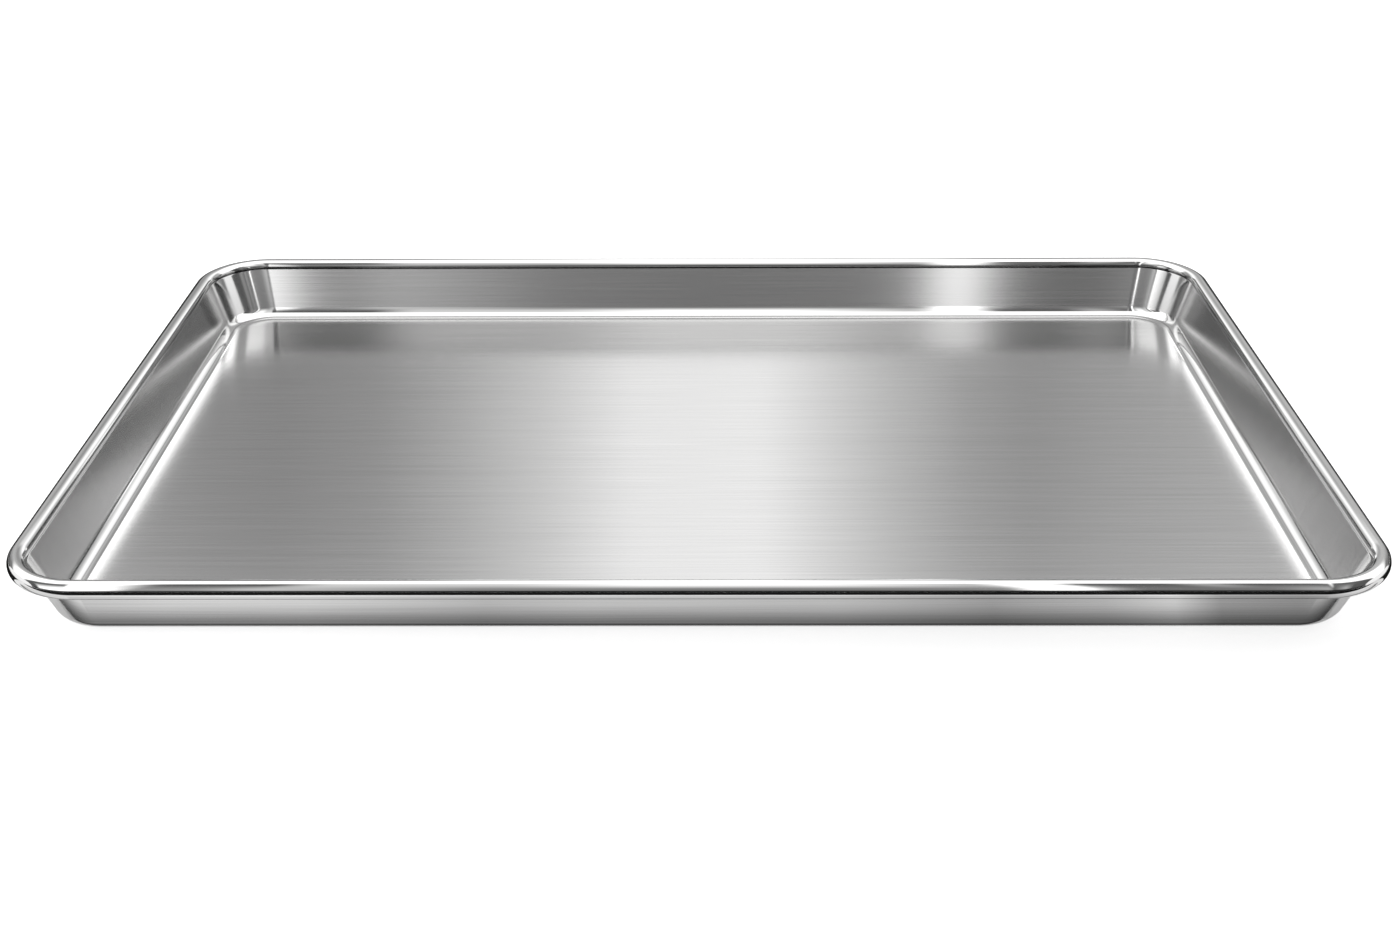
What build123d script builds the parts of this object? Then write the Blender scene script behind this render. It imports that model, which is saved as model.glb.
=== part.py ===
# Jelly roll pan: a shallow baking pan pressed from one sheet of stainless steel, with its edge
# rolled outwards and down round a steel wire. Millimetres, +X along the length, +Z up.
# The origin is the middle of the underside, the face that the pan rests on.
from build123d import *
from math import acos, cos, degrees, radians, sin
import os

os.makedirs("parts", exist_ok=True)

# Overall sizes, measured over the rolled rim
rim_length = 387.5
rim_width = 254.0
rim_height = 21.0
rim_corner_radius = 24.0

# Sheet steel: the fold is the rounded foot of the wall, and the draft is the wall's lean
sheet_thickness = 0.6
fold_inner_radius = 4.5
wall_draft_degrees = 19.0

# Rolled rim: the crease is the small hollow bend where the bead stands proud of the wall
bead_diameter = 5.4
crease_inner_radius = 0.6
bead_overhang_degrees = 5.0
curl_gap = 0.3

# Rim wire
wire_clearance = 0.08
wire_butt_gap = 0.8

# Radii of the sheet's two faces at each bend
bead_radius = bead_diameter / 2
curl_inner_radius = bead_radius - sheet_thickness
fold_outer_radius = fold_inner_radius + sheet_thickness
crease_outer_radius = crease_inner_radius + sheet_thickness
wire_radius = curl_inner_radius - wire_clearance

draft = radians(wall_draft_degrees)
overhang = radians(bead_overhang_degrees)

# The section turns about three centres. It is drawn outwards from the line where the flat
# floor ends, and the fold's centre stands over that line.
fold_height = sheet_thickness + fold_inner_radius
bead_height = rim_height - bead_radius
crease_to_bead = bead_radius + crease_inner_radius
crease_height = bead_height - crease_to_bead * sin(overhang)
crease_reach = (
    sin(draft) * (crease_height - fold_height) + fold_inner_radius - crease_inner_radius
) / cos(draft)
bead_reach = crease_reach + crease_to_bead * cos(overhang)

# The curl ends under the bead, where its cut edge comes within the gap of the wall
wall_distance = crease_to_bead * cos(draft + overhang) - crease_outer_radius
curl_end_degrees = -wall_draft_degrees - degrees(acos((curl_gap - wall_distance) / bead_radius))
curl_start_degrees = 180 + bead_overhang_degrees
curl_sweep_degrees = curl_end_degrees - curl_start_degrees

# All rounded corners of the pan share four upright axes
floor_inset = bead_reach + bead_radius
floor_length = rim_length - 2 * floor_inset
floor_width = rim_width - 2 * floor_inset
floor_corner_radius = rim_corner_radius - floor_inset

# The wire lies on the centre line of the bead
wire_loop_length = rim_length - bead_diameter
wire_loop_width = rim_width - bead_diameter
wire_corner_radius = rim_corner_radius - bead_radius

# Pan body: the section of wall and rolled rim is swept round half of the floor's edge,
# mirrored, and joined to the flat floor
fold_line_points = [
    (0, floor_width / 2),
    (floor_length / 2, floor_width / 2),
    (floor_length / 2, -floor_width / 2),
    (0, -floor_width / 2),
]
section_plane = Plane(origin=fold_line_points[0], x_dir=(0, 1, 0), z_dir=(1, 0, 0))

with BuildPart() as pan_body:
    with BuildLine() as fold_line:
        FilletPolyline(*fold_line_points, radius=floor_corner_radius)
    with BuildSketch(section_plane) as wall_section:
        with BuildLine():
            fold_centre = (0, fold_height)
            crease_centre = (crease_reach, crease_height)
            bead_centre = (bead_reach, bead_height)
            fold_turn = 90 - wall_draft_degrees
            crease_turn = wall_draft_degrees + bead_overhang_degrees
            inner_fold = CenterArc(fold_centre, fold_inner_radius, -90, fold_turn)
            outer_fold = CenterArc(fold_centre, fold_outer_radius, -90, fold_turn)
            inner_crease = CenterArc(
                crease_centre, crease_inner_radius, -wall_draft_degrees, crease_turn
            )
            outer_crease = CenterArc(
                crease_centre, crease_outer_radius, -wall_draft_degrees, crease_turn
            )
            bead_skin = CenterArc(
                bead_centre, bead_radius, curl_start_degrees, curl_sweep_degrees
            )
            curl_lining = CenterArc(
                bead_centre, curl_inner_radius, curl_start_degrees, curl_sweep_degrees
            )
            Line(inner_fold @ 0, outer_fold @ 0)
            Line(inner_fold @ 1, inner_crease @ 0)
            Line(outer_fold @ 1, outer_crease @ 0)
            Line(bead_skin @ 1, curl_lining @ 1)
        make_face()
    sweep(path=fold_line.line)
    mirror(about=Plane.YZ)
    with BuildSketch(Plane.XY) as floor_outline:
        RectangleRounded(floor_length, floor_width, floor_corner_radius)
    extrude(amount=sheet_thickness)

pan_body.part.label = "pan_body"
export_step(pan_body.part, "parts/pan_body.step")

# Rim wire: one length of round wire bent to a loop inside the curl, its two ends butting in
# the middle of a long side
wire_points = [
    (wire_butt_gap / 2, wire_loop_width / 2),
    (wire_loop_length / 2, wire_loop_width / 2),
    (wire_loop_length / 2, -wire_loop_width / 2),
    (-wire_loop_length / 2, -wire_loop_width / 2),
    (-wire_loop_length / 2, wire_loop_width / 2),
    (-wire_butt_gap / 2, wire_loop_width / 2),
]

with BuildPart() as rim_wire:
    with BuildLine(Plane.XY.offset(bead_height)) as wire_line:
        FilletPolyline(*wire_points, radius=wire_corner_radius)
    with BuildSketch(Plane(origin=wire_line.line @ 0, z_dir=wire_line.line % 0)):
        Circle(wire_radius)
    sweep(path=wire_line.line)

rim_wire.part.label = "rim_wire"
export_step(rim_wire.part, "parts/rim_wire.step")
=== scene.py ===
# %% [markdown]
# # A rolled-rim jelly roll pan in stainless steel
# The pan is one sheet of steel, pressed into a shallow tray, with its edge rolled round a wire.
# This lesson models the sheet the way a press shop thinks of it. One section of the wall and
# the rolled rim is drawn, turned round a corner, drawn out along the sides, and the floor
# closes it. The measured frame from the CAD comes first, because every size and place here
# follows it.

# %% Load the measured frame
from math import atan2, cos, degrees, hypot, pi, radians, sin, tan

import bmesh
import bpy
from mathutils import Matrix, Vector


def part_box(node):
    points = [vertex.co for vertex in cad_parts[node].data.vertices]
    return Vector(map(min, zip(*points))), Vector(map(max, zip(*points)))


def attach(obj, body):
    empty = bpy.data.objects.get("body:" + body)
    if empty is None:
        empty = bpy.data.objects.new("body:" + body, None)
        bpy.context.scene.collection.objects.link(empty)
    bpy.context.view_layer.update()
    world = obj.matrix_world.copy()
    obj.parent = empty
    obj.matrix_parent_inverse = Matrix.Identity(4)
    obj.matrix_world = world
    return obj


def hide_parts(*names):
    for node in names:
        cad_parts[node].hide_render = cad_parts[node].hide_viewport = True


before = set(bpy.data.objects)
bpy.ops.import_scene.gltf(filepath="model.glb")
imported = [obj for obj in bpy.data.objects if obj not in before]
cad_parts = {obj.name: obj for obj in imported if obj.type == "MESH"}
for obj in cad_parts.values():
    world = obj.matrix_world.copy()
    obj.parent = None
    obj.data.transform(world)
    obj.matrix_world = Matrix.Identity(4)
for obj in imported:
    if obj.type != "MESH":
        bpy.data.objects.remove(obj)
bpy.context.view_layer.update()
pan_low, pan_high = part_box("pan_body")
print("pan over its rolled rim, mm:", [round(1000 * side, 1) for side in pan_high - pan_low])

# %% [markdown]
# ## The camera
# The picture is taken from in front, a little above, through a lens of about normal length. The
# camera's place was worked out from the outline of the rim and of the floor, so the pan stays
# put and only the camera is set. It is aimed by three turns, as a tripod head is: swing, tilt
# and level.

# %% Set the camera
camera_place = Vector((0.0038, -0.5449, 0.2694))
camera_swing = 0.0068
camera_tilt_down = 0.4702
camera_level = 0.0042
camera_lens = 46.35

camera_data = bpy.data.cameras.new("camera")
camera_data.lens = camera_lens
camera = bpy.data.objects.new("camera", camera_data)
bpy.context.scene.collection.objects.link(camera)
camera.matrix_world = (
    Matrix.Translation(camera_place)
    @ Matrix.Rotation(camera_swing, 4, "Z")
    @ Matrix.Rotation(pi / 2 - camera_tilt_down, 4, "X")
    @ Matrix.Rotation(-camera_level, 4, "Z")
)
bpy.context.scene.camera = camera
print("camera looks down by", round(degrees(camera_tilt_down), 1), "degrees")

# %% [markdown]
# ## The sheet's section
# On the real pan the floor turns up through a small fold, the wall leans outwards, and the edge
# curls over and under like a sausage round the wire. All of it is the same thin sheet, so only
# its upper face is drawn at first, and the thickness is added once the form is right.
# Each bend is an arc about a centre, so the section is known once the centres are.

# %% Work out the section's centres
sheet_thickness = 0.0006
fold_radius = 0.0045
wall_lean = radians(19.0)
bead_radius = 0.0027
crease_radius = 0.0006
bead_overhang = radians(5.0)
rim_corner_radius = 0.024

fold_height = sheet_thickness + fold_radius
bead_height = pan_high.z - bead_radius
crease_to_bead = bead_radius + crease_radius
crease_height = bead_height - crease_to_bead * sin(bead_overhang)
crease_reach = (
    sin(wall_lean) * (crease_height - fold_height) + fold_radius - crease_radius
) / cos(wall_lean)
bead_reach = crease_reach + crease_to_bead * cos(bead_overhang)

# The floor is inside the rim by what the section reaches out. The walls' and the rim's rounded
# corners turn about one upright line.
floor_inset = bead_reach + bead_radius
corner_x = pan_high.x - rim_corner_radius
corner_y = pan_high.y - rim_corner_radius
fold_x = pan_high.x - floor_inset
fold_y = pan_high.y - floor_inset
crease_x = fold_x + crease_reach
bead_x = fold_x + bead_reach
print("floor edge lies inside the rim by, mm:", round(1000 * floor_inset, 2))

# %% [markdown]
# ## Drawing the section
# The roll is the easiest part to place, so it comes first: a ring of points the size of the
# bead, stood on edge, with the points that would run into the wall taken out. From the ring's
# free end the sheet goes on inwards: a small bend under the bead, turned by spin, and a straight
# wall, drawn by extrude. The wall runs right down to a sharp foot for now, and the fold is
# pressed into the finished tray later.

# %% Helpers for selecting by place
near = 0.00001


def choose(mesh_object, test):
    """Selects the vertices of the mesh in edit mode whose place passes the test."""
    work = bmesh.from_edit_mesh(mesh_object.data)
    for part in (work.faces, work.edges, work.verts):
        for element in part:
            element.select = False
    chosen = 0
    for vertex in work.verts:
        if test(vertex.co):
            vertex.select = True
            chosen += 1
    work.select_flush(True)
    bmesh.update_edit_mesh(mesh_object.data)
    return chosen


def at(place):
    """A test that only the vertex at this place passes."""
    return lambda co: (co - Vector(place)).length < near


# %% Draw the bead's ring
bead_points = 72
bpy.ops.object.select_all(action="DESELECT")
bpy.ops.mesh.primitive_circle_add(
    vertices=bead_points,
    radius=bead_radius,
    fill_type="NOTHING",
    location=(bead_x, corner_y, bead_height),
    rotation=(pi / 2, 0, 0),
)
pan = bpy.context.object
pan.name = "steel_pan"
bpy.ops.object.transform_apply(location=True, rotation=True, scale=True)
print("points in the bead's ring:", len(pan.data.vertices))


# %% Open the ring where the wall passes
def round_bead(co):
    """The angle round the bead, from the outside over the top, in degrees."""
    return degrees(atan2(co.z - bead_height, co.x - bead_x)) % 360


# The point where the sheet joins the ring stays, so the gap starts one degree past it
curl_start = 180 + degrees(bead_overhang)
gap_start = curl_start + 1.0
gap_end = 216.0
bpy.ops.object.mode_set(mode="EDIT")
removed = choose(pan, lambda co: gap_start < round_bead(co) < gap_end)
bpy.ops.mesh.delete(type="VERT")
print("ring points taken out where the wall passes:", removed)

# %% Bend under the bead
crease_steps = 6
crease_start = (
    bead_x - bead_radius * cos(bead_overhang),
    corner_y,
    bead_height - bead_radius * sin(bead_overhang),
)
choose(pan, at(crease_start))
bpy.ops.mesh.spin(
    steps=crease_steps,
    angle=-(wall_lean + bead_overhang),
    center=(crease_x, corner_y, crease_height),
    axis=(0, 1, 0),
)
wall_top = Vector(
    (
        crease_x + crease_radius * cos(wall_lean),
        corner_y,
        crease_height - crease_radius * sin(wall_lean),
    )
)
print("wall's top found:", choose(pan, at(wall_top)) == 1)

# %% Draw the wall down to its sharp foot
fold_turn = pi / 2 - wall_lean
side_fold_run = fold_radius * tan(fold_turn / 2)
foot_x = fold_x + side_fold_run
wall_foot = Vector((foot_x, corner_y, sheet_thickness))
wall_length = (wall_foot - wall_top).length
bpy.ops.mesh.extrude_region_move(TRANSFORM_OT_translate={"value": wall_foot - wall_top})
print("wall length down to the sharp foot, mm:", round(1000 * wall_length, 2))

# %% [markdown]
# ## From a section to a tray
# The section is turned a quarter round the corner's upright line and then drawn out straight
# from both ends to the pan's middle lines. The real floor has rounder corners than the rim, so
# the foot of the wall is scaled up about its sharp corner. The wall there becomes a leaning cone.
# That is a quarter of the pan, and two mirrors make the rest. One face fills the flat floor.

# %% Turn the corner and draw out the sides
corner_steps = 36
bpy.ops.mesh.select_all(action="SELECT")
bpy.ops.mesh.spin(
    steps=corner_steps, angle=-pi / 2, center=(corner_x, corner_y, 0), axis=(0, 0, 1)
)
choose(pan, lambda co: co.y < corner_y + near)
bpy.ops.mesh.extrude_region_move(TRANSFORM_OT_translate={"value": (0, -corner_y, 0)})
choose(pan, lambda co: co.x < corner_x + near)
bpy.ops.mesh.extrude_region_move(TRANSFORM_OT_translate={"value": (-corner_x, 0, 0)})
print("faces in the quarter:", len(bmesh.from_edit_mesh(pan.data).faces))

# %% Round the foot's corner
floor_corner_radius = 0.012
foot_y = fold_y + side_fold_run
turned_foot_radius = foot_x - corner_x
rounding = (floor_corner_radius + side_fold_run) / turned_foot_radius
moved = choose(
    pan,
    lambda co: co.z < sheet_thickness + near and co.x > corner_x - near and co.y > corner_y - near,
)
bpy.ops.transform.resize(
    value=(rounding, rounding, 1), center_override=(foot_x, foot_y, sheet_thickness)
)
bpy.ops.object.mode_set(mode="OBJECT")
print("points moved at the foot:", moved)

# %% Mirror the quarter and close the floor
bpy.ops.object.modifier_add(type="MIRROR")
mirror = pan.modifiers[-1]
mirror.use_axis = (True, True, False)
mirror.merge_threshold = near
bpy.ops.object.modifier_apply(modifier=mirror.name)
bpy.ops.object.mode_set(mode="EDIT")
bpy.ops.mesh.select_mode(type="VERT")
bpy.ops.mesh.select_all(action="SELECT")
bpy.ops.mesh.remove_doubles(threshold=near / 10)
print("points round the foot:", choose(pan, lambda co: co.z < sheet_thickness + near / 10))
bpy.ops.mesh.edge_face_add()

# %% Face the sheet upwards
bpy.ops.mesh.select_all(action="SELECT")
bpy.ops.mesh.normals_make_consistent(inside=False)
work = bmesh.from_edit_mesh(pan.data)
broadest = max(work.faces, key=lambda face: face.calc_area())
if broadest.normal.z < 0:
    bpy.ops.mesh.flip_normals()
bpy.ops.object.mode_set(mode="OBJECT")
print("whole sheet:", len(pan.data.polygons), "faces")

# %% [markdown]
# ## Pressing the fold
# A bevel along the foot rounds the sharp edge into the fold. Only the foot's edges carry a bevel
# weight, so the modifier leaves every other edge alone.

# %% Mark the foot and press the fold
fold_steps = 16
weights = pan.data.attributes.new(name="bevel_weight_edge", type="FLOAT", domain="EDGE")
for edge in pan.data.edges:
    ends = [pan.data.vertices[index].co for index in edge.vertices]
    if max(end.z for end in ends) < sheet_thickness + near:
        weights.data[edge.index].value = 1.0
bpy.ops.object.modifier_add(type="BEVEL")
press = pan.modifiers[-1]
press.limit_method = "WEIGHT"
press.width = side_fold_run
press.segments = fold_steps
bpy.ops.object.modifier_apply(modifier=press.name)
print("with the fold:", len(pan.data.polygons), "faces")

# %% [markdown]
# ## Keeping the flats flat
# Smooth shading blends the direction of each face into its neighbours, and a long flat wall or
# floor next to a bend would seem to bulge. A narrow inset round each flat takes up the blend, so
# that the flat inside it mirrors the room truly. The sheet gets its thickness last, away from
# the upper face, and even round each bend.

# %% Helpers for the flats
broad_area = 0.01


def choose_faces(mesh_object, test):
    """Selects the faces of the mesh in edit mode that pass the test."""
    bpy.ops.mesh.select_mode(type="FACE")
    work = bmesh.from_edit_mesh(mesh_object.data)
    for part in (work.faces, work.edges, work.verts):
        for element in part:
            element.select = False
    chosen = [face for face in work.faces if test(face)]
    for face in chosen:
        face.select = True
    bmesh.update_edit_mesh(mesh_object.data)
    return len(chosen)


def is_wall(face):
    """True for the tall faces between the fold and the crease."""
    heights = [vertex.co.z for vertex in face.verts]
    return max(heights) - min(heights) > wall_length / 3 and min(heights) < fold_height


def is_floor(face):
    """True for the one broad face."""
    return face.calc_area() > broad_area


# %% Inset the wall band and the floor
flat_margin = 0.0003
bpy.ops.object.mode_set(mode="EDIT")
for name, test in (("wall", is_wall), ("floor", is_floor)):
    print(name, "faces:", choose_faces(pan, test))
    bpy.ops.mesh.inset(thickness=flat_margin, use_boundary=True, use_even_offset=True)
bpy.ops.mesh.select_mode(type="VERT")
bpy.ops.object.mode_set(mode="OBJECT")

# %% Give the sheet its thickness
smooth_below = radians(30)
bpy.ops.object.modifier_add(type="SOLIDIFY")
solidify = pan.modifiers[-1]
solidify.thickness = sheet_thickness
solidify.offset = -1
solidify.use_even_offset = True
bpy.ops.object.modifier_apply(modifier=solidify.name)
bpy.ops.object.shade_smooth_by_angle(angle=smooth_below)
print("triangles in the pan:", sum(len(face.vertices) - 2 for face in pan.data.polygons))

# %% [markdown]
# ## A map of the unfolded sheet
# The maker brushes the steel while it is still flat, so the fine lines run along the pan on the
# floor, along the long walls, and up the short walls. A map that unfolds the sheet gives the
# same result: each point's place on the map is its place on the blank before pressing. Two more
# layers of numbers go with it. One says how much each place was rubbed smooth by the dies, in the
# fold, the roll and the corners, and lightens the colour there with a painted sheen. The other
# says where painted shade darkens it: under the roll, and on a thin painted line low in the fold.


# %% Measure along the section
def corner_axis(place):
    """The nearest point of the flat rectangle between the four corner axes."""
    return Vector(
        (max(-corner_x, min(corner_x, place.x)), max(-corner_y, min(corner_y, place.y)))
    )


def roll_angle(reach, height):
    """How far round the roll a point lies from where the roll starts, or nothing."""
    if hypot(reach - bead_reach, height - bead_height) > bead_radius + near:
        return None
    angle = degrees(atan2(height - bead_height, reach - bead_reach))
    return (curl_start - angle) % 360


wall_stretch = 1 / cos(wall_lean) - tan(wall_lean)
crease_low = crease_height - (crease_radius + sheet_thickness) * sin(wall_lean)
fold_rise = side_fold_run * cos(wall_lean)
wall_top_run = side_fold_run + wall_length
print("sheet from floor edge to wall top, mm:", round(1000 * wall_top_run, 2))

# %% Rate the polish and the shade of a point
# Polish makes the steel smoother and also lightens its colour with a painted sheen.
corner_polish_and_sheen = 0.7
# Painted shade: under the roll it fades out over these degrees, and the line values below paint a
# thin dark line low in the fold.
shaded_turn = 40.0
painted_line_shade = 0.4
painted_line_rise = 0.00038
painted_line_reach = 0.00007


def wall_polish_and_sheen(offset, rise):
    """The polish and painted sheen of a point below the roll: whole in the fold, less in a corner.
    """
    if near < rise < fold_rise + near:
        return 1.0
    in_corner = min(abs(offset.x), abs(offset.y)) > near
    return corner_polish_and_sheen if in_corner and rise + sheet_thickness > fold_height else 0.0


def wall_shade(rise):
    """The painted shade of a point below the roll: close under the roll, and on a thin painted line
    low in the fold.
    """
    if rise + sheet_thickness > crease_height - near:
        return 1.0
    return painted_line_shade if abs(rise - painted_line_rise) < painted_line_reach else 0.0


# %% Unfold the sheet on the map
sheet_map = pan.data.uv_layers.new(name="sheet_map")
# Two layers: polish with a painted sheen, and painted shade.
polish_and_sheen = pan.data.attributes.new(name="polish_and_sheen", type="FLOAT", domain="POINT")
painted_shade = pan.data.attributes.new(name="painted_shade", type="FLOAT", domain="POINT")
flat_place = []
for vertex in pan.data.vertices:
    co = vertex.co
    offset = co.to_2d() - corner_axis(co)
    if offset.length < near:
        flat_place.append(co.to_2d())
        continue
    reach = offset.length - (fold_x - corner_x)
    turn = roll_angle(reach, co.z) if co.z > crease_low else None
    if turn is None:
        rise = co.z - sheet_thickness
        run = reach + rise * wall_stretch
        polish_and_sheen.data[vertex.index].value = wall_polish_and_sheen(offset, rise)
        painted_shade.data[vertex.index].value = wall_shade(rise)
    else:
        run = wall_top_run + bead_radius * radians(turn)
        polish_and_sheen.data[vertex.index].value = 1.0
        painted_shade.data[vertex.index].value = max(0.0, 1.0 - min(turn, 360 - turn) / shaded_turn)
    flat_place.append(corner_axis(co) + offset.normalized() * (fold_x - corner_x + run))
for loop in pan.data.loops:
    sheet_map.data[loop.index].uv = flat_place[loop.vertex_index]
print("blank before pressing, mm:", [round(2000 * max(p[i] for p in flat_place)) for i in (0, 1)])

# %% [markdown]
# ## Brushed stainless steel
# Brushed steel is a mirror covered in fine parallel scratches. Along a scratch the surface is
# smooth, and across it the surface is rough, so reflections smear at right angles to the lines.
# The shader does the smearing itself with its anisotropy, once the tangent tells it which way
# the lines run. Noise stretched along the map then gives single lines you can see: they change
# the colour, the roughness and the height by very little. Where the dies rubbed the sheet it is
# smoother and has a painted sheen, and under the roll and on a thin line in the fold a painted
# shade makes it nearly black.


# %% Helpers for materials
def start_material(name):
    """A new node material, its node tree and its main shader."""
    material = bpy.data.materials.new(name)
    material.use_nodes = True
    tree = material.node_tree
    return material, tree, tree.nodes["Principled BSDF"]


def add_node(tree, kind, **settings):
    """Adds a node and sets its properties and its inputs by name."""
    node = tree.nodes.new(kind)
    for name, value in settings.items():
        if hasattr(node, name):
            setattr(node, name, value)
        else:
            node.inputs[name.replace("_", " ")].default_value = value
    return node


def arithmetic(tree, operation, first, second=0.0, third=0.0):
    """Adds a Math node. Each value is a number or another node's output."""
    node = tree.nodes.new("ShaderNodeMath")
    node.operation = operation
    for place, value in enumerate((first, second, third)):
        if isinstance(value, (int, float)):
            node.inputs[place].default_value = value
        else:
            tree.links.new(value, node.inputs[place])
    return node.outputs[0]


# %% Make the brushed steel
smear = 0.6
quarter_turn = 0.25
steel, steel_tree, steel_shader = start_material("brushed_stainless_steel")
steel_shader.inputs["Metallic"].default_value = 1.0
steel_shader.inputs["Anisotropic"].default_value = smear
steel_shader.inputs["Anisotropic Rotation"].default_value = quarter_turn
tangent = add_node(
    steel_tree, "ShaderNodeTangent", direction_type="UV_MAP", uv_map="sheet_map"
)
steel_tree.links.new(tangent.outputs["Tangent"], steel_shader.inputs["Tangent"])
print("reflections smear by", smear, "across the lines")

# %% Draw the brush lines
sheet_uv = add_node(steel_tree, "ShaderNodeUVMap", uv_map="sheet_map")


def brush_lines(length, width, detail):
    """Noise drawn out into lines of about this length and width, in metres."""
    stretch = add_node(steel_tree, "ShaderNodeMapping")
    stretch.inputs["Scale"].default_value = (1 / length, 1 / width, 1)
    steel_tree.links.new(sheet_uv.outputs["UV"], stretch.inputs["Vector"])
    noise = add_node(
        steel_tree, "ShaderNodeTexNoise", noise_dimensions="2D", Scale=1.0, Detail=detail
    )
    steel_tree.links.new(stretch.outputs["Vector"], noise.inputs["Vector"])
    return noise.outputs["Fac"]


fine_share, broad_share = 0.7, 0.3
fine_lines = brush_lines(length=0.060, width=0.00028, detail=2.0)
broad_lines = brush_lines(length=0.160, width=0.0016, detail=2.0)
fine_part = arithmetic(steel_tree, "MULTIPLY", fine_lines, fine_share)
lines = arithmetic(steel_tree, "MULTIPLY_ADD", broad_lines, broad_share, fine_part)
print("brush lines are fine for", fine_share, "and broad for", broad_share)

# %% Colour the steel
darker_steel = (0.655, 0.653, 0.651, 1)
lighter_steel = (0.745, 0.743, 0.741, 1)
# The polished colour is a painted sheen, lighter than the steel's own.
painted_sheen_steel = (0.90, 0.898, 0.895, 1)
# Painted shade: the nearly black colour under the roll and on the thin line in the fold.
painted_shade_dark = (0.03, 0.03, 0.03, 1)
steel_colour = add_node(steel_tree, "ShaderNodeValToRGB")
for mark, where, colour in zip(
    steel_colour.color_ramp.elements, (0.30, 0.70), (darker_steel, lighter_steel)
):
    mark.position = where
    mark.color = colour
steel_tree.links.new(lines, steel_colour.inputs["Fac"])

polish_and_sheen_layer = add_node(steel_tree, "ShaderNodeAttribute", attribute_name="polish_and_sheen")
with_painted_sheen = add_node(steel_tree, "ShaderNodeMix", data_type="RGBA")
with_painted_sheen.inputs["B"].default_value = painted_sheen_steel
steel_tree.links.new(polish_and_sheen_layer.outputs["Fac"], with_painted_sheen.inputs["Factor"])
steel_tree.links.new(steel_colour.outputs["Color"], with_painted_sheen.inputs["A"])

painted_shade_layer = add_node(steel_tree, "ShaderNodeAttribute", attribute_name="painted_shade")
shaded = add_node(steel_tree, "ShaderNodeMix", data_type="RGBA")
shaded.inputs["B"].default_value = painted_shade_dark
steel_tree.links.new(painted_shade_layer.outputs["Fac"], shaded.inputs["Factor"])
steel_tree.links.new(with_painted_sheen.outputs["Result"], shaded.inputs["A"])
steel_tree.links.new(shaded.outputs["Result"], steel_shader.inputs["Base Color"])
print("steel colour, darker to lighter lines:", darker_steel[0], "to", lighter_steel[0])

# %% Let the lines change roughness and height
smoothest_brushing = 0.135
roughness_range = 0.05
polished_roughness = 0.07
groove_depth = 0.000002
groove_strength = 0.10
brushed_roughness = arithmetic(
    steel_tree, "MULTIPLY_ADD", lines, roughness_range, smoothest_brushing
)
roughness = add_node(steel_tree, "ShaderNodeMix", data_type="FLOAT")
steel_tree.links.new(polish_and_sheen_layer.outputs["Fac"], roughness.inputs["Factor"])
steel_tree.links.new(brushed_roughness, roughness.inputs["A"])
roughness.inputs["B"].default_value = polished_roughness
steel_tree.links.new(roughness.outputs["Result"], steel_shader.inputs["Roughness"])

unpolished = arithmetic(steel_tree, "SUBTRACT", 1.0, polish_and_sheen_layer.outputs["Fac"])
groove_height = arithmetic(steel_tree, "MULTIPLY", lines, unpolished)
bump = add_node(steel_tree, "ShaderNodeBump", Strength=groove_strength, Distance=groove_depth)
steel_tree.links.new(groove_height, bump.inputs["Height"])
steel_tree.links.new(bump.outputs["Normal"], steel_shader.inputs["Normal"])
print("steel nodes:", len(steel_tree.nodes))

# %% Put the steel on the pan
pan.data.materials.append(steel)
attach(pan, "root")
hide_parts("pan_body")
print("pan stands at the origin:", pan.location.length < near)

# %% [markdown]
# ## Drawn wire
# The wire inside the roll is plain drawn steel, duller than the sheet. It can't be seen on the
# finished pan, but it is part of it, so the measured wire stays and only gets its finish: fine
# mottling from the drawing die.

# %% Finish the wire
mottle_scale = 900.0
wire_smoothest = 0.25
wire_roughness_range = 0.15
wire_steel, wire_tree, wire_shader = start_material("drawn_wire_steel")
wire_shader.inputs["Metallic"].default_value = 1.0
wire_place = add_node(wire_tree, "ShaderNodeTexCoord")
wire_noise = add_node(wire_tree, "ShaderNodeTexNoise", Scale=mottle_scale, Detail=3.0)
wire_tree.links.new(wire_place.outputs["Object"], wire_noise.inputs["Vector"])
wire_colour = add_node(wire_tree, "ShaderNodeValToRGB")
wire_colour.color_ramp.elements[0].color = (0.46, 0.46, 0.45, 1)
wire_colour.color_ramp.elements[1].color = (0.60, 0.60, 0.59, 1)
wire_tree.links.new(wire_noise.outputs["Fac"], wire_colour.inputs["Fac"])
wire_tree.links.new(wire_colour.outputs["Color"], wire_shader.inputs["Base Color"])
wire_roughness = arithmetic(
    wire_tree, "MULTIPLY_ADD", wire_noise.outputs["Fac"], wire_roughness_range, wire_smoothest
)
wire_tree.links.new(wire_roughness, wire_shader.inputs["Roughness"])
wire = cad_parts["rim_wire"]
wire.data.materials.clear()
wire.data.materials.append(wire_steel)
print("wire keeps its measured mesh:", len(wire.data.polygons), "faces")

# %% [markdown]
# ## The table
# The pan stands on a plain white table. For most light it is plain white paint, which takes the
# pan's shadow. The camera also sees it glow, so that it looks white under soft light, and far
# out it glows fully, so that the background has no edge. A mirror sees it glow less, which
# keeps the pan's sides apart from it. Light Path tells these kinds of ray apart.


# %% Helpers for the room
def profile(tree, value, low, high, stops):
    """A brightness that follows value between low and high through the given stops."""
    span = high - low
    place = arithmetic(tree, "MULTIPLY_ADD", value, 1 / span, -low / span)
    ramp = add_node(tree, "ShaderNodeValToRGB")
    marks = ramp.color_ramp.elements
    while len(marks) < len(stops):
        marks.new(0.5)
    for mark, (where, level) in zip(marks, stops):
        mark.position = (where - low) / span
        mark.color = (level, level, level, 1)
    tree.links.new(place, ramp.inputs["Fac"])
    return ramp.outputs["Color"]


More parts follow.
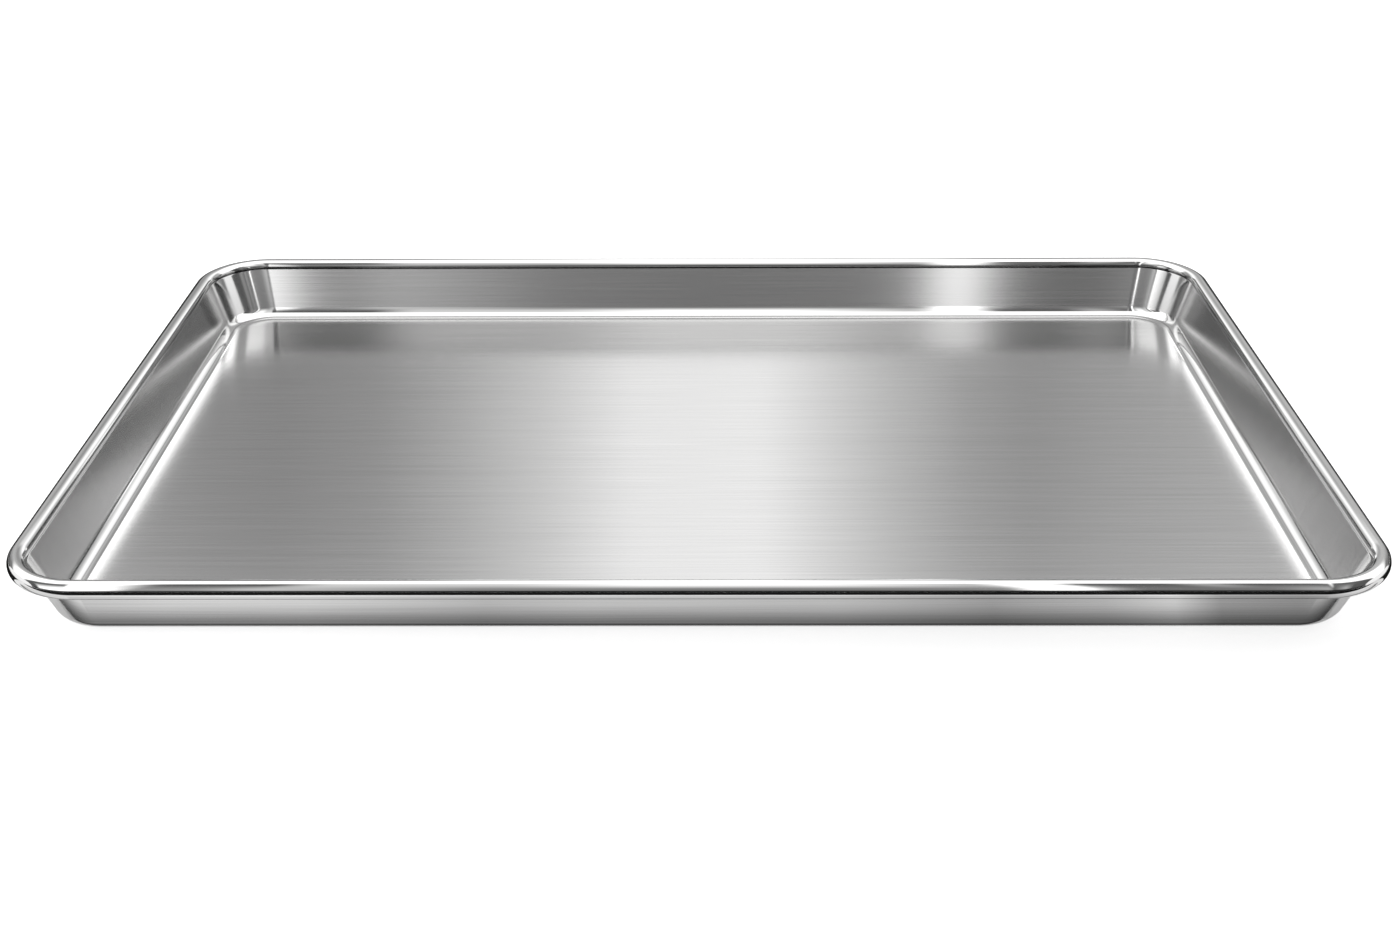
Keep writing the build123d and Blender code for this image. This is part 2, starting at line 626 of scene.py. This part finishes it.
def looking_rays(tree):
    """Two switches: on for a ray from the camera, and on for one from a mirror or glass."""
    light_path = add_node(tree, "ShaderNodeLightPath")
    from_mirror_or_glass = arithmetic(
        tree,
        "MAXIMUM",
        light_path.outputs["Is Glossy Ray"],
        light_path.outputs["Is Transmission Ray"],
    )
    return light_path.outputs["Is Camera Ray"], from_mirror_or_glass


# %% Lay the table
table_side = 30.0
table_drop = 0.0001
bpy.ops.object.select_all(action="DESELECT")
bpy.ops.mesh.primitive_plane_add(size=table_side, location=(0, 0, -table_drop))
table = bpy.context.object
table.name = "table"
print("table side, m:", table_side)

# %% Paint the table
paint_white = (0.8, 0.8, 0.8, 1)
seen_glow = 0.75
far_glow = 1.0
mirrored_glow = 0.20
glow_rises_from, glow_full_at = 0.42, 0.50
table_paint, table_tree, table_shader = start_material("white_table")
table_tree.nodes.remove(table_shader)
table_place = add_node(table_tree, "ShaderNodeTexCoord")
distance = add_node(table_tree, "ShaderNodeVectorMath", operation="LENGTH")
table_tree.links.new(table_place.outputs["Object"], distance.inputs[0])
glow_there = profile(
    table_tree,
    distance.outputs["Value"],
    0.0,
    1.0,
    [(glow_rises_from, seen_glow), (glow_full_at, far_glow)],
)
camera_ray, mirror_ray = looking_rays(table_tree)
seen = arithmetic(table_tree, "MULTIPLY", camera_ray, glow_there)
seen_or_mirrored = arithmetic(table_tree, "MULTIPLY_ADD", mirror_ray, mirrored_glow, seen)
paint = add_node(table_tree, "ShaderNodeBsdfDiffuse")
paint.inputs["Color"].default_value = paint_white
glow = add_node(table_tree, "ShaderNodeEmission")
table_tree.links.new(seen_or_mirrored, glow.inputs["Strength"])
both = add_node(table_tree, "ShaderNodeAddShader")
table_tree.links.new(paint.outputs[0], both.inputs[0])
table_tree.links.new(glow.outputs[0], both.inputs[1])
table_tree.links.new(both.outputs[0], table_tree.nodes["Material Output"].inputs["Surface"])
table.data.materials.append(table_paint)
print("table nodes:", len(table_tree.nodes))

# %% [markdown]
# ## Black cards on the table
# Polished steel on a white table loses its edge. Photographers lay black cards round the
# piece, just out of the picture, and the rolled rim mirrors them as the fine dark lines that
# draw its shape. Here the cards are hidden from the camera and lie beside and before the pan,
# with a gap at each front corner, where the rim mirrors the white table. They take no part in
# the soft light on the table and throw no shadow.

# %% Lay the black cards
card_black = (0.012, 0.012, 0.012, 1)
card_lift = 0.0002
card_width = 0.30
card_rear = 0.49
front_clearance = 0.022
side_clearance = 0.006
corner_clearance = 0.045
black_card, _, card_shader = start_material("black_card")
card_shader.inputs["Base Color"].default_value = card_black
card_shader.inputs["Roughness"].default_value = 0.9
card_shader.inputs["Specular IOR Level"].default_value = 0.0


def lay_card(name, low, high, finish):
    """A card of this finish on the table between two corners."""
    centre = ((low[0] + high[0]) / 2, (low[1] + high[1]) / 2, card_lift)
    bpy.ops.object.select_all(action="DESELECT")
    bpy.ops.mesh.primitive_plane_add(size=1, location=centre)
    card = bpy.context.object
    card.name = name
    card.scale = (high[0] - low[0], high[1] - low[1], 1)
    bpy.ops.object.transform_apply(location=True, rotation=True, scale=True)
    card.data.materials.append(finish)
    card.visible_camera = False
    card.visible_diffuse = False
    card.visible_shadow = False


front_edge = pan_low.y - front_clearance
side_edge = pan_high.x + side_clearance
outer_edge = side_edge + card_width
side_front = front_edge + corner_clearance
lay_card("card_front", (-outer_edge, front_edge - card_width), (outer_edge, front_edge), black_card)
lay_card("card_left", (-outer_edge, side_front), (-side_edge, card_rear), black_card)
lay_card("card_right", (side_edge, side_front), (outer_edge, card_rear), black_card)
print("front card starts before the rim by, mm:", round(1000 * front_clearance))

# %% [markdown]
# ## A graded strip before the pan
# The front wall leans over the table and mirrors only the narrow strip between the front card
# and its own foot. In the picture that wall is light at the top and dark at the foot, and it
# changes a little along its length. A strip on the table that glows by its own grades gives it
# this look. Its light is meant for mirrors alone, so Cycles isn't told to aim at it as at a lamp.

# %% Lay the graded strip
strip_overlap = 0.03
falls_from, falls_through = 0.008, 0.004
foot_line = -foot_y
strip_half = side_edge + strip_overlap
strip_paint, strip_tree, strip_shader = start_material("graded_strip")
strip_tree.nodes.remove(strip_shader)
strip_place = add_node(strip_tree, "ShaderNodeTexCoord")
strip_axes = add_node(strip_tree, "ShaderNodeSeparateXYZ")
strip_tree.links.new(strip_place.outputs["Object"], strip_axes.inputs[0])
# The glow falls to nearly black at the pan's foot: a painted contact shadow that the front wall
# mirrors.
towards_foot = profile(
    strip_tree,
    strip_axes.outputs["Y"],
    front_edge,
    foot_line,
    [
        (front_edge, 0.95), (foot_line - falls_from, 0.90), (foot_line - falls_through, 0.36),
        (foot_line, 0.02),
    ],
)
along_pan = profile(
    strip_tree,
    strip_axes.outputs["X"],
    -strip_half,
    strip_half,
    [
        (-0.19, 0.80), (-0.15, 1.00), (-0.11, 1.00), (-0.06, 0.74), (-0.03, 0.84), (0.04, 0.78),
        (0.083, 0.52), (0.115, 0.70), (0.134, 0.95), (0.147, 0.50), (0.17, 0.42), (0.20, 0.80),
    ],
)
strip_glow = add_node(strip_tree, "ShaderNodeEmission")
strip_tree.links.new(
    arithmetic(strip_tree, "MULTIPLY", towards_foot, along_pan), strip_glow.inputs["Strength"]
)
strip_tree.links.new(strip_glow.outputs[0], strip_tree.nodes["Material Output"].inputs["Surface"])
strip_paint.cycles.emission_sampling = "NONE"
lay_card("graded_strip", (-strip_half, front_edge), (strip_half, foot_line), strip_paint)
print("strip width, mm:", round(1000 * (foot_line - front_edge), 1))

# %% [markdown]
# ## The light tent
# Polished metal has almost no look of its own: it shows the room. In the picture the room is a
# white tent overhead, a soft bright panel low behind the pan, and a dark front where the
# photographer stands, with a few tall strips of light in it. Here the tent is half a tube over
# the pan, hidden from the camera. Its cloth glows by two directions: how far round it is from
# the rear, over the top, to the front, and how far to the side.

# %% Raise the tent
tent_radius = 0.5
tent_half_length = 1.2
tent_segments = 64
bpy.ops.object.select_all(action="DESELECT")
bpy.ops.mesh.primitive_cylinder_add(
    vertices=tent_segments,
    radius=tent_radius,
    depth=2 * tent_half_length,
    end_fill_type="NOTHING",
    rotation=(0, pi / 2, 0),
)
tent = bpy.context.object
tent.name = "light_tent"
bpy.ops.object.transform_apply(location=True, rotation=True, scale=True)
bpy.ops.object.mode_set(mode="EDIT")
choose(tent, lambda co: co.z < -near)
bpy.ops.mesh.delete(type="VERT")
bpy.ops.object.mode_set(mode="OBJECT")
tent.visible_camera = False
print("tent faces:", len(tent.data.polygons))

# %% Measure directions on the tent
cloth, room, cloth_shader = start_material("tent_cloth")
room.nodes.remove(cloth_shader)
room_place = add_node(room, "ShaderNodeTexCoord")
room_axes = add_node(room, "ShaderNodeSeparateXYZ")
room.links.new(room_place.outputs["Object"], room_axes.inputs[0])
over = arithmetic(room, "ARCTAN2", room_axes.outputs["Z"], room_axes.outputs["Y"])
over_degrees = arithmetic(room, "MULTIPLY", over, 180 / pi)


def along_tent(stops):
    """A brightness painted along the tube. Each stop is a place from the middle in metres."""
    return profile(room, room_axes.outputs["X"], -tent_half_length, tent_half_length, stops)


def over_tent(stops):
    """A share painted over the tube. Each stop is an angle up from the rear in degrees."""
    return profile(room, over_degrees, 0.0, 180.0, stops)


def blend(share, first, second):
    """Mixes two brightnesses. Each is a number or another node's output."""
    mix = add_node(room, "ShaderNodeMix", data_type="RGBA")
    room.links.new(share, mix.inputs["Factor"])
    for name, value in (("A", first), ("B", second)):
        if isinstance(value, float):
            mix.inputs[name].default_value = (value, value, value, 1)
        else:
            room.links.new(value, mix.inputs[name])
    return mix.outputs["Result"]


# %% Paint the rear of the tent
rear_panel = along_tent(
    [
        (-0.80, 0.20), (-0.50, 0.50), (-0.37, 0.42), (-0.30, 0.33), (-0.26, 0.31), (-0.20, 0.37),
        (-0.15, 0.54), (-0.10, 0.77), (-0.045, 1.12), (0.035, 1.16), (0.075, 0.89), (0.115, 0.64),
        (0.16, 0.45), (0.20, 0.38), (0.25, 0.45), (0.32, 0.52), (0.50, 0.50), (0.80, 0.20),
    ]
)
low_rear = along_tent(
    [
        (-0.40, 0.05), (-0.17, 0.05), (-0.14, 0.80), (-0.12, 0.80), (-0.08, 0.12),
        (0.08, 0.12), (0.12, 1.30), (0.14, 1.30), (0.17, 0.05), (0.40, 0.05),
    ]
)
to_rear_panel = over_tent([(12, 1.0), (17, 0.0)])
tent_light = blend(to_rear_panel, rear_panel, low_rear)
print("nodes for the rear:", len(room.nodes))

# %% [markdown]
# ## Light that has been mirrored twice
# Close to the side walls the floor shows the wall, and the wall shows the tent, so that light
# has met two mirrors. Glossy Depth counts them. For such light the upper rear of the tent has
# wide bright bands, which give the pan's inner edges their white glow. Where the walls show the
# tent by way of two mirrors, and everywhere after three, it is dimmer, which keeps the walls
# darker than the floor. The glow depends on how a ray came, so Cycles isn't told to aim at the
# cloth as at a lamp.

# %% Count the mirrors
mirrors_met = add_node(room, "ShaderNodeLightPath").outputs["Glossy Depth"]
met_two = arithmetic(room, "GREATER_THAN", mirrors_met, 1.5)
met_three = arithmetic(room, "GREATER_THAN", mirrors_met, 2.5)
inner_overhead = along_tent(
    [
        (-0.46, 0.15), (-0.42, 1.60), (-0.39, 1.60), (-0.36, 0.20), (-0.31, 0.20), (-0.28, 2.40),
        (0.28, 2.40), (0.31, 0.20), (0.36, 0.20), (0.39, 1.60), (0.42, 1.60), (0.46, 0.15),
    ]
)
above_low_rear = over_tent([(18, 0.0), (24, 1.0)])
tent_light = blend(
    arithmetic(room, "MULTIPLY", met_two, above_low_rear), tent_light, inner_overhead
)
print("nodes with the second mirror:", len(room.nodes))

# %% Paint the top and the front of the tent
overhead_white = 1.4
dark_foot = 0.02
high_front = along_tent(
    [
        (-0.80, 0.10), (-0.36, 0.15), (-0.335, 1.40), (-0.31, 1.40), (-0.29, 0.12), (-0.225, 0.10),
        (-0.20, 0.70), (-0.10, 0.72), (-0.03, 1.18), (0.06, 1.15), (0.145, 0.55), (0.160, 1.50),
        (0.182, 1.50), (0.195, 0.12), (0.245, 0.12), (0.265, 0.50), (0.285, 0.10), (0.33, 0.15),
        (0.345, 1.20), (0.365, 0.15), (0.80, 0.10),
    ]
)
low_front = along_tent(
    [
        (-0.85, 0.10), (-0.75, 1.30), (-0.295, 1.70), (-0.283, 0.30), (-0.25, 0.34), (-0.22, 0.60),
        (-0.17, 0.46), (-0.11, 0.28), (0.00, 0.23), (0.13, 0.26), (0.155, 0.30), (0.163, 1.80),
        (0.186, 1.80), (0.198, 0.50), (0.215, 0.18), (0.28, 0.20), (0.31, 0.45), (0.36, 0.12),
        (0.50, 0.45), (0.62, 0.10),
    ]
)
tent_light = blend(over_tent([(40, 0.0), (50, 1.0)]), tent_light, overhead_white)
tent_light = blend(over_tent([(94, 0.0), (101, 1.0)]), tent_light, high_front)
tent_light = blend(over_tent([(114, 0.0), (150, 1.0)]), tent_light, low_front)
tent_light = blend(over_tent([(162, 0.0), (171, 1.0)]), tent_light, dark_foot)
print("nodes with the front:", len(room.nodes))

# %% Dim what was mirrored more often and light the tent
inner_dimming = 0.35
walls_show = over_tent([(46, 0.0), (52, 1.0), (72, 1.0), (77, 0.0), (118, 0.0), (130, 1.0)])
dimmed = arithmetic(
    room, "MAXIMUM", met_three, arithmetic(room, "MULTIPLY", met_two, walls_show)
)
strength = arithmetic(room, "MULTIPLY_ADD", dimmed, inner_dimming - 1.0, 1.0)
tent_glow = add_node(room, "ShaderNodeEmission")
room.links.new(strength, tent_glow.inputs["Strength"])
room.links.new(tent_light, tent_glow.inputs["Color"])
room.links.new(tent_glow.outputs[0], room.nodes["Material Output"].inputs["Surface"])
cloth.cycles.emission_sampling = "NONE"
tent.data.materials.append(cloth)
print("tent nodes:", len(room.nodes))

# %% [markdown]
# ## The world outside
# Beyond the tent the world is an even white for the camera and for mirrors. Light that comes
# in at the tent's open ends is a dim grey.

# %% Fill the world
dim_grey = 0.3
world = bpy.data.worlds.new("studio")
bpy.context.scene.world = world
world.use_nodes = True
outside = world.node_tree
outside.nodes.clear()
world_light = add_node(outside, "ShaderNodeBackground", Strength=dim_grey)
world_white = add_node(outside, "ShaderNodeBackground", Strength=1.0)
for background in (world_light, world_white):
    background.inputs["Color"].default_value = (1, 1, 1, 1)
world_choice = add_node(outside, "ShaderNodeMixShader")
world_out = add_node(outside, "ShaderNodeOutputWorld")
looked_at = arithmetic(outside, "MAXIMUM", *looking_rays(outside))
outside.links.new(looked_at, world_choice.inputs[0])
outside.links.new(world_light.outputs[0], world_choice.inputs[1])
outside.links.new(world_white.outputs[0], world_choice.inputs[2])
outside.links.new(world_choice.outputs[0], world_out.inputs["Surface"])
print("world nodes:", len(outside.nodes))

# %% [markdown]
# ## Finishing
# The picture is developed plainly, so that a colour shows about as it is written. The steel
# must not outgrow the CAD.

# %% Develop the picture plainly
bpy.context.scene.view_settings.view_transform = "Standard"
print("view transform:", bpy.context.scene.view_settings.view_transform)
